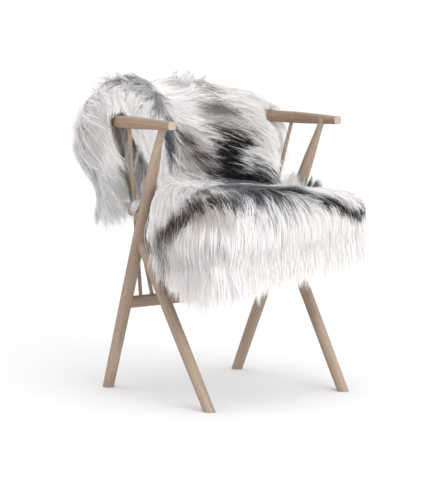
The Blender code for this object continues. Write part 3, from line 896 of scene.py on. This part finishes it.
rods = []
for side in (MIRROR, RIGHT):
    rods.append((REAR_FOOT * side, REAR_TOP * side, REAR_LEG_CLEAR))
    rods.append((FRONT_FOOT * side, FRONT_TOP * side, FRONT_LEG_CLEAR))
    rods += [(*spindle(number, side), SPINDLE_CLEAR) for number in range(len(SPINDLES))]
bow_line = [bow_at(turn)[0] for turn in BOW_ANGLES]
rods += [(a, b, BOW_CLEAR) for a, b in zip(bow_line[:-1], bow_line[1:])]
# Posts and arms that stand free: a line's ends, its radius, how many steps it is kept clear
free_wood = [
    (*rear_leg(RIGHT, 0.70, 0.97), 0.020, 2),
    (*rear_leg(MIRROR, 0.64, 0.97), 0.017, 4),
    (bow_at(-30)[0], bow_at(13)[0], 0.0165, 3),
    (bow_at(164)[0], bow_at(210)[0], 0.022, 2),
]
for number, side, upper, many in FREE_SPINDLES:
    foot, head = spindle(number, side)
    free_wood.append((foot + (head - foot) * upper, head, FREE_SPINDLE_CLEAR, many))
# Hairs end at different shares of their lock's length, and strays run past its end
reach = np.where(stray, 1.04, rng.uniform(0.74, 1.0, count))
points, low = hair_points(reach)
open_share = np.ones(count)
for start, end, radius, many in free_wood:
    for k in range(many):
        shift = SIZE_SHIFT + TOWARD * radius * k
        inside = off_line(points, start + shift, end + shift)[1][..., 0] < radius
        cut = np.maximum(np.argmax(inside, axis=0) - SHORT_OF, LEAST_LEFT) / BENDS
        open_share = np.minimum(open_share, np.where(inside.any(axis=0), cut, 1.0))
points, low = hair_points(reach * open_share)
for start, end, radius in rods:
    away, gap = off_line(points, start + SIZE_SHIFT, end + SIZE_SHIFT)
    points += np.where(gap < radius, away / np.maximum(gap, 1e-6) * (radius - gap), 0.0)
for axis, sign, limit, room in HAIR_BOX:
    past = np.maximum(points[..., axis] * sign - limit, 0.0)
    points[..., axis] -= sign * (past - room * (1 - np.exp(-past / room)))

# Marks
# The coat's own dark patches. Hair is read between the middle of its lock and where it lies, so
# a mark runs on along the locks, and its ragged border has hairs of both colours.

# Shares of the lock's middle and of the hair's own place
AT_MIDDLE, AT_PLACE = 0.45, 0.55
# Raggedness of the borders: across and along the skin by locks, and in size by hairs and locks
RAGGED_S, RAGGED_T = 0.020, 0.006
BY_HAIR, BY_LOCK = 0.24, 0.18
# Each mark: colour, place across and along, half its size across and along, turn, strength, and
# 1 where it is on the tips only
SLATE, BROWN, BLACK, BEIGE = range(4)
MARKS = (
    (SLATE, -0.25, 0.288, 0.13, 0.030, 8, 0.62),
    (SLATE, -0.42, 0.262, 0.22, 0.018, 0, 0.35),
    (SLATE, 0.12, 0.268, 0.14, 0.012, 0, 0.30, 1),
    (SLATE, -0.16, 0.392, 0.085, 0.050, 8, 1.00),
    (BROWN, 0.10, 0.425, 0.22, 0.060, 0, 0.42),
    (BROWN, 0.06, 0.390, 0.09, 0.014, 10, 1.00),
    (BROWN, 0.20, 0.432, 0.12, 0.012, 10, 1.00),
    (BROWN, 0.30, 0.470, 0.20, 0.035, 0, 0.65),
    (BROWN, 0.42, 0.272, 0.12, 0.005, 0, 0.50),
    (BROWN, 0.52, 0.304, 0.20, 0.013, 4, 0.74),
    (BROWN, 0.56, 0.330, 0.22, 0.030, 4, 0.30),
    (BEIGE, 0.80, 0.340, 0.16, 0.030, 0, 0.22),
    (BROWN, 0.58, 0.358, 0.24, 0.017, 6, 0.90),
    (BLACK, 0.68, 0.388, 0.22, 0.015, 2, 1.00),
    (BLACK, 0.52, 0.438, 0.18, 0.062, 0, 1.00),
    (BLACK, 0.66, 0.512, 0.44, 0.052, 3, 1.00),
    (BLACK, 0.44, 0.610, 0.38, 0.090, 0, 0.85),
    (BLACK, 1.00, 0.730, 0.06, 0.014, 0, 0.85),
    (SLATE, -0.36, 0.845, 0.25, 0.028, 0, 0.80),
    (SLATE, -0.08, 0.798, 0.36, 0.096, 0, 1.00),
    (SLATE, -0.26, 0.892, 0.24, 0.020, 6, 1.00),
    (BLACK, -0.04, 0.880, 0.32, 0.020, 4, 0.60),
    (BLACK, 0.10, 0.896, 0.22, 0.009, 10, 1.00),
    (BLACK, 0.46, 0.926, 0.33, 0.009, 14, 1.00),
    (BLACK, 0.75, 0.953, 0.16, 0.005, 18, 1.00),
    (BROWN, -0.79, 0.850, 0.22, 0.022, 40, 1.00),
    (BLACK, -0.60, 0.892, 0.12, 0.008, 25, 0.80),
    (BEIGE, -0.69, 0.912, 0.09, 0.020, 0, 0.85),
    (SLATE, -0.86, 0.984, 0.05, 0.016, 0, 0.35),
    (SLATE, -0.70, 0.030, 0.40, 0.045, 0, 0.38, 1),
)
# How far a mark reaches in shares of its size, and over how much of that it fades
MARK_REACH, MARK_FADE = 1.28, 0.5


def mark_amounts(s, t, part, stray):
    """How strongly each of the four colours tints the hair at places on the skin."""
    amounts = np.zeros((*s.shape, 4))
    for colour, mark_s, mark_t, half_s, half_t, turn, strength, *tips in MARKS:
        a = np.radians(turn)
        x, y = (s - mark_s) * SKIN_HALF, (t - mark_t) * SKIN_LENGTH
        x, y = x * np.cos(a) + y * np.sin(a), y * np.cos(a) - x * np.sin(a)
        far = np.hypot(x / (half_s * SKIN_HALF), y / (half_t * SKIN_LENGTH))
        amount = ease((MARK_REACH - far + stray) / MARK_FADE) * strength
        amount = amount * (ease((part - 0.35) / 0.5) if tips else 0.7 + 0.3 * ease(part / 0.3))
        amounts[..., colour] = np.maximum(amounts[..., colour], amount)
    return amounts


middle_s, middle_t = seen[BENDS // 2, :, 0], seen[BENDS // 2, :, 1]
ragged = 0.5 * np.sin(middle_s * 23 + 3 * np.sin(middle_t * 61)) + rng.normal(0, 0.5, locks)
mark_s = middle_s * AT_MIDDLE + seen[:, :, 0] * AT_PLACE + RAGGED_S * ragged
mark_t = middle_t * AT_MIDDLE + seen[:, :, 1] * AT_PLACE + RAGGED_T * rng.normal(0, 0.7, locks)
stray_marks = rng.normal(0, BY_HAIR, count) + rng.normal(0, BY_LOCK, locks)[lock]
offset = sideways * closing
lean_s = np.sum(across[BENDS // 2] * unit(here["place_i"]), axis=1)[lock]
lean_t = np.sum(across[BENDS // 2] * unit(here["place_j"]), axis=1)[lock]
hair_s = mark_s[:, lock] + offset * lean_s / SKIN_HALF
hair_t = mark_t[:, lock] + offset * lean_t / SKIN_LENGTH
coat = mark_amounts(hair_s, hair_t, part, stray_marks)

# Ribbons
# Each hair is one flat strip that tapers to its tip and is turned a little about its own length.
# It takes the light by the pile's slope, so that the coat shades as softly as fine hair does.
HAIR_WIDTH = 0.0014
# Radians that ribbons roll and that their light tilts, and the shares of the lock and the pile
ROLL, TILT = 0.36, 0.16
BY_LINE, BY_PILE = 0.55, 0.45
along_hair = unit(np.gradient(points, axis=0))
roll = rng.normal(0, ROLL, count)[:, None]
flat_way = across[low, lock] * np.cos(roll) + over[low, lock] * np.sin(roll)
flat_way = unit(flat_way - along_hair * np.sum(flat_way * along_hair, axis=2, keepdims=True))
taper = np.interp(part, (0, 0.15, 0.6, 0.85, 1), (0.7, 1.0, 0.9, 0.55, 0.0))
breadth = HAIR_WIDTH * np.where(stray, 0.5, rng.uniform(0.75, 1.2, count)) * taper
left_side = (points - flat_way * breadth[..., None] / 2)[:BENDS]
right_side = (points + flat_way * breadth[..., None] / 2)[:BENDS]
tips = points[BENDS]
tilt = rng.normal(0, TILT, count)[:, None]
slope = BY_LINE * over[low, lock] + BY_PILE * normals[low, lock] + across[low, lock] * tilt
slope = unit(slope)

# Coat colours
# White hair, darkened and warmed towards its roots by painted shade of the pile's depth, with the
# marks mixed over it by the amounts kept in the mesh. The underwool below is duller, and takes
# the same marks.

# Beige, slate, brown and black, each with the part of the mesh's colour that holds its amount
MARK_COLOURS = (
    ("Alpha", (0.67, 0.62, 0.58, 1.0)),
    ("Red", (0.150, 0.160, 0.190, 1.0)),
    ("Green", (0.150, 0.108, 0.090, 1.0)),
    ("Blue", (0.012, 0.010, 0.011, 1.0)),
)
WHITES = ((0.0, (0.87, 0.85, 0.835)), (0.45, (0.94, 0.93, 0.925)), (1.0, (0.97, 0.97, 0.98)))
# Painted shade that darkens and warms the hair towards its roots, deep in the pile
ROOT_PAINTED_SHADE = (0.80, 0.76, 0.72, 1.0)
WOOL_TONES = ((0.0, (0.62, 0.605, 0.59)), (1.0, (0.80, 0.79, 0.78)))
# Share of the light on a hair that passes through it
THROUGH = 0.60


def marks_group():
    """The marks over a base colour. Slate, brown and black are red, green and blue in the mesh."""
    tree, given, out = group_of("coat_marks", {"Base": "Color"}, {"Color": "Color"})
    coat = node_in(tree, "Attribute", attribute_name="coat").outputs
    parts = node_in(tree, "SeparateColor", coat["Color"]).outputs
    colour = given["Base"]
    for part, tint in MARK_COLOURS:
        amount = coat["Alpha"] if part == "Alpha" else parts[part]
        colour = mixed(tree, amount, colour, tint)
    fill(out, colour)
    return tree


COAT_MARKS = marks_group()


def hair_material():
    """Fine silky hair: each its own white, with painted shade at its root, and light shines through it.
    """
    made, tree, shader = surface("sheepskin_hair", roughness=0.50, specular_ior_level=0.22)
    fill(shader, sheen_weight=0.20, sheen_roughness=0.4)
    strand = node_in(tree, "Attribute", attribute_name="strand").outputs["Vector"]
    shade, along, _ = node_in(tree, "SeparateXYZ", strand).outputs
    # Painted shade: how much the root's tint darkens the hair, fading out by the hair's middle
    root = rescaled(tree, along, 0.0, 0.5, 0.14, 0.0)
    colour = mixed(tree, root, ramp(tree, shade, WHITES), ROOT_PAINTED_SHADE, "MULTIPLY")
    marked = node_in(tree, "Group", colour, node_tree=COAT_MARKS).outputs["Color"]
    fill(shader, base_color=marked)
    through = node_in(tree, "BsdfTranslucent", marked).outputs["BSDF"]
    both = node_in(tree, "MixShader", THROUGH, shader.outputs["BSDF"], through)
    fill(tree.nodes["Material Output"], both.outputs["Shader"])
    return made


def wool_material():
    """The short dense wool between the locks' roots."""
    made, tree, shader = surface("sheepskin_underwool", roughness=0.95, specular_ior_level=0.1)
    place = node_in(tree, "TexCoord").outputs["Object"]
    curls = noise(tree, place, scale=260.0, detail=4.0)
    marked = node_in(tree, "Group", ramp(tree, curls, WOOL_TONES), node_tree=COAT_MARKS).outputs[0]
    fill(shader, base_color=marked, normal=bumped(tree, curls, strength=0.6, distance=0.003))
    return made


# Underwool
# A dense short fleece fills four fifths of the pile, between the roots of the long hair. It grows
# from the same hide, and its grid is twice as fine.
WOOL = 0.80
WOOL_LEAST = 0.004
WOOL_FINENESS = 2
fine = [np.linspace(PAST, PAST + size - 1, (size - 1) * WOOL_FINENESS + 1) for size in under.shape[:2]]
fine_i, fine_j = (grid.ravel() for grid in np.meshgrid(*fine, indexing="ij"))
here = skin.at(fine_i, fine_j)
core = here["place"] + here["facing"] * np.maximum(here["height"] * WOOL, WOOL_LEAST)
tints = [("coat", "FLOAT_COLOR", mark_amounts(here["s"][:, 0], here["t"][:, 0], 0.7, 0.0))]
faces = grid_faces(len(fine[0]), len(fine[1]))
wool = mesh_of("underwool", core, *faces, wool_material(), tints)
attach(wool, "root")

# Hair pieces
# The long hair, all of it growing out of the hide. It is kept in five pieces by how far its
# roots are from the rear hem, and the last piece takes the place of the solid fringes too.
HAIR_PIECES = 5
HAIR = hair_material()
order = np.argsort(seen[0, lock, 1], kind="stable")
for band, hairs in enumerate(np.array_split(order, HAIR_PIECES), 1):
    many = len(hairs)

    def in_turn(values):
        """Values of the ribbons' cross lines, put in the order of the mesh's points."""
        sides = np.repeat(values[:BENDS, hairs], 2, axis=0)
        return np.concatenate([sides, values[BENDS:, hairs]]).transpose(1, 0, 2)

    rings = np.stack([left_side[:, hairs], right_side[:, hairs]], 1)
    verts = np.concatenate([rings.reshape(2 * BENDS, many, 3), tips[None, hairs]]).transpose(1, 0, 2)
    lines = np.zeros((many, 2 * BENDS + 1, 2))
    lines[..., 0] = rng.random(many)[:, None]
    lines[..., 1] = np.append(np.repeat(part[:BENDS, 0], 2), 1.0)
    strip = np.array([(2 * k, 2 * k + 1, 2 * k + 3, 2 * k + 2) for k in range(BENDS - 1)]).ravel()
    strip = np.append(strip, (2 * BENDS - 2, 2 * BENDS - 1, 2 * BENDS))
    corners = (strip + (2 * BENDS + 1) * np.arange(many)[:, None]).ravel()
    piece = mesh_of(
        f"hair_{band}",
        verts.reshape(-1, 3),
        corners,
        np.tile([4] * (BENDS - 1) + [3], many),
        HAIR,
        [("coat", "FLOAT_COLOR", in_turn(coat)), ("strand", "FLOAT2", lines)],
    )
    piece.data.normals_split_custom_set_from_vertices(in_turn(slope).reshape(-1, 3))
    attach(piece, "root")
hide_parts(*[name for name in frame["nodes"] if name.startswith("fringe")])

# Floor and light
# A white paper floor that runs out of sight, a white room, and one large soft lamp in front of
# the chair, above the height of its arms.
FLOOR_SIZE = 40.0
PAPER = (0.69, 0.69, 0.69, 1.0)
ROOM_LIGHT = 1.46
LAMP_PLACE = (-0.3, -3.6, 1.9)
LAMP_WAY = (0.3, 3.6, -1.4)
LAMP_WATTS = 90.0
LAMP_SIZE = 2.8
bpy.ops.mesh.primitive_plane_add(size=FLOOR_SIZE, location=(0, 0, 0))
floor = bpy.context.object
floor.name = "floor"
paper = surface("floor_paper", base_color=PAPER, roughness=0.9, specular_ior_level=0.0)[0]
floor.data.materials.append(paper)
world = bpy.data.worlds.new("white_room")
world.use_nodes = True
bpy.context.scene.world = world
fill(world.node_tree.nodes["Background"], color=(1.0, 1.0, 1.0, 1.0), strength=ROOM_LIGHT)
bpy.ops.object.light_add(type="AREA", location=LAMP_PLACE)
lamp = bpy.context.object
lamp.data.energy = LAMP_WATTS
lamp.data.size = LAMP_SIZE
lamp.rotation_euler = Vector(LAMP_WAY).to_track_quat("-Z", "Y").to_euler()
bpy.context.scene.view_settings.view_transform = "Standard"
